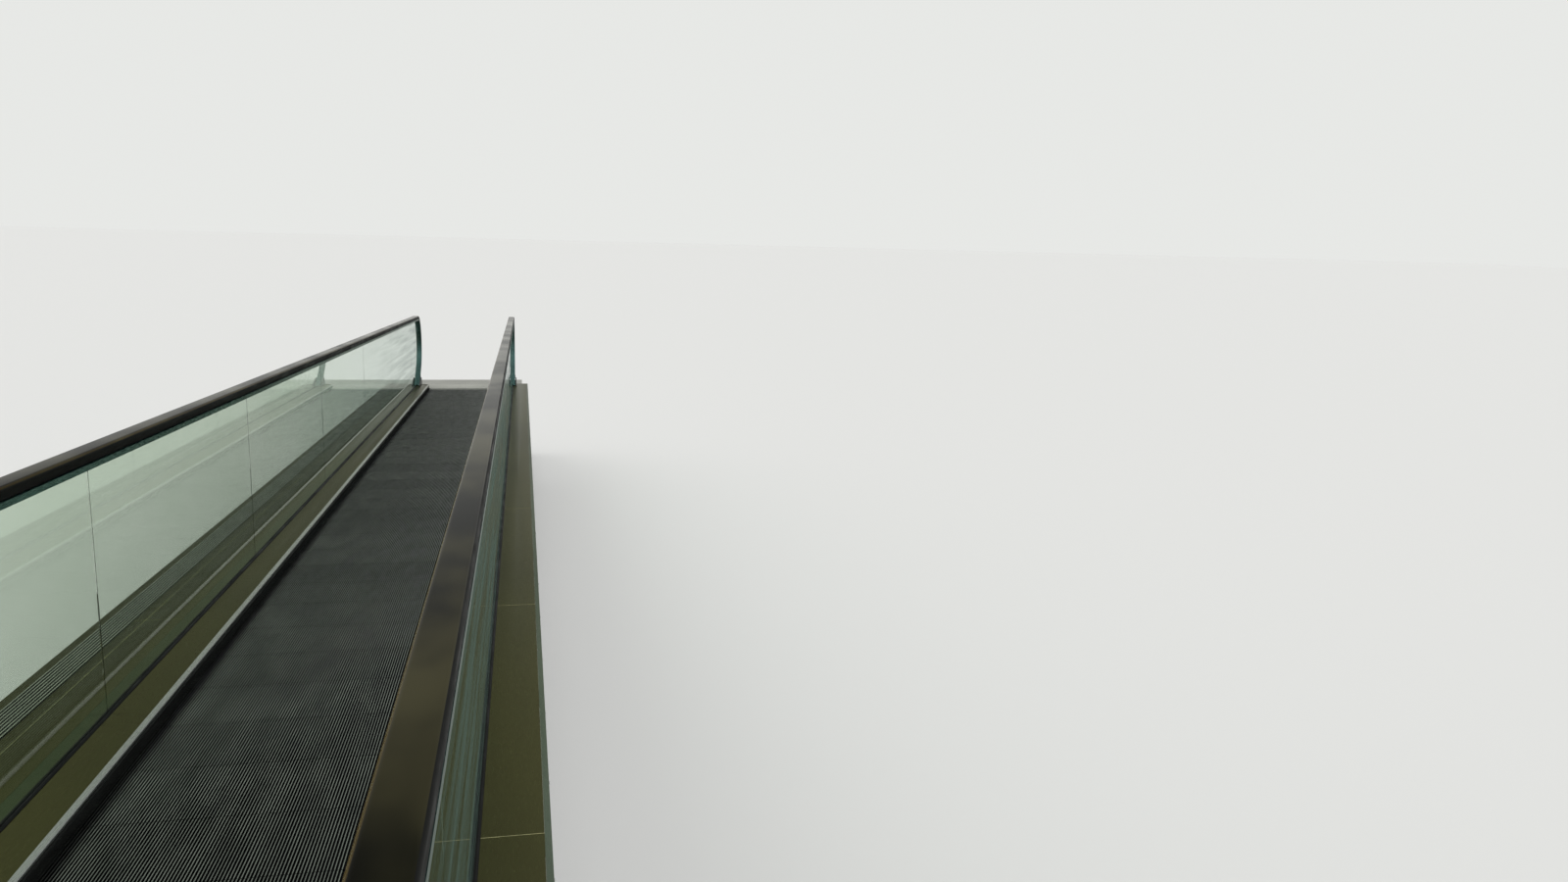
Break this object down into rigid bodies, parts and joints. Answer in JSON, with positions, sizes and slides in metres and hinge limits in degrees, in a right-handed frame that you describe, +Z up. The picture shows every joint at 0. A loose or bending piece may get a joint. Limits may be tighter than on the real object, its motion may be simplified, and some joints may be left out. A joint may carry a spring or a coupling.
{
  "type": "inclined moving walkway",
  "caption": "Inclined moving walkway: grooved pallet band between glass balustrades with black handrails, bronze steel decks, on a lattice truss with trestles.",
  "frame": {"origin": "on the floor, under the middle of the walkway's outline", "axes": "+Z up, +Y down the slope along the walkway, +X to the right of someone who rides down"},
  "size_m": [1.9584, 18.8258, 3.0538],
  "materials": {
    "truss_steel": "satin grey paint",
    "galvanised": "zinc-coated sheet",
    "track_steel": "bright rolled steel",
    "tread": "dark die-cast with worn cleat crests",
    "pallet": "dark die-cast",
    "chain": "oiled dark steel",
    "sprocket": "machined",
    "skirt": "satin black",
    "brush": "matt bristle",
    "edge_strip": "satin anodised",
    "deck": "bronze-olive satin stainless",
    "ribbed": "ribbed anodised",
    "clamp": "mill finish",
    "gasket": "matt black",
    "glass": "clear green-tinted toughened",
    "guide": "green-grey anodised",
    "handrail": "glossy black",
    "inlet": "moulded black",
    "comb": "satin",
    "landing": "ribbed satin",
    "machinery": "blue-grey machine enamel"
  },
  "bodies": {
    "root": {"truss_left": "truss_steel", "truss_right": "truss_steel", "cross_members": "truss_steel", "drip_tray": "galvanised", "side_brackets_left": "galvanised", "side_brackets_right": "galvanised", "upper_tracks": "track_steel", "return_tracks": "track_steel", "cleated_tread": "tread", "pallet_band": "pallet", "pallet_chains": "chain", "drive_sprockets": "sprocket", "tension_sprockets": "sprocket", "skirts": "skirt", "skirt_brushes": "brush", "edge_strips": "edge_strip", "inner_deck_left": "deck", "inner_deck_right": "deck", "glass_clamp_left": "clamp", "glass_clamp_right": "clamp", "glass_gaskets": "gasket", "glass_trim_left": "clamp", "glass_left": "glass", "glass_right": "glass", "handrail_guide_left": "guide", "handrail_guide_right": "guide", "handrail_left": "handrail", "handrail_right": "handrail", "handrail_inlets": "inlet", "outer_deck_left": "deck", "outer_deck_right": "deck", "ribbed_strip": "ribbed", "fascia_left": "deck", "fascia_right": "deck", "deck_end_caps": "deck", "comb_upper": "comb", "comb_lower": "comb", "landing_frame_upper": "truss_steel", "landing_frame_lower": "truss_steel", "landing_covers": "landing", "station_panels": "galvanised", "drive_unit": "machinery", "tension_units": "sprocket", "handrail_drives": "track_steel", "trestles": "truss_steel"}
  },
  "joints": []
}
